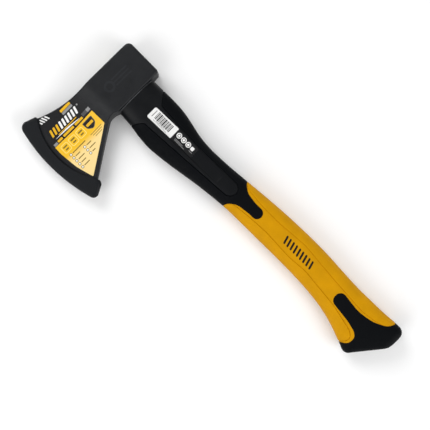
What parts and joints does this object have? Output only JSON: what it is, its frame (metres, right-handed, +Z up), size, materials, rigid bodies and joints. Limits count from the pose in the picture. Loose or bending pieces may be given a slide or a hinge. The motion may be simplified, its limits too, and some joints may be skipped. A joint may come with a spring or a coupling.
{
  "type": "hand axe",
  "caption": "Short hand axe with a forged bearded head, square poll, moulded two-colour handle over a fibreglass core and a pull-off plastic blade guard.",
  "frame": {"origin": "middle of the footprint, on the surface the axe lies on", "axes": "+Y from the butt towards the head, +X towards the poll (the cutting edge faces -X), +Z up through the labelled side"},
  "size_m": [0.1365, 0.3966, 0.027],
  "materials": {
    "coated_steel": "satin",
    "cured_glue": "satin",
    "glass_fibre": "satin",
    "hard_black": "satin",
    "soft_black": "matte",
    "soft_yellow": "matte",
    "guard_black": "satin",
    "head_print": "gloss",
    "white_film": "satin",
    "black_film": "gloss"
  },
  "bodies": {
    "axe": {"axe_head": "coated_steel", "eye_epoxy": "cured_glue", "fibreglass_core": "glass_fibre", "handle_jacket": "hard_black", "neck_overmould": "soft_black", "grip_sleeve": "soft_yellow", "butt_cap": "soft_black", "head_label": "head_print", "barcode_label": "white_film", "icon_label": "black_film"},
    "guard": {"blade_guard": "guard_black"}
  },
  "joints": [
    {"name": "guard_pull", "type": "slide", "parent": "axe", "child": "guard", "axis": [-1, 0, 0], "range_m": [0, 0.04]}
  ]
}
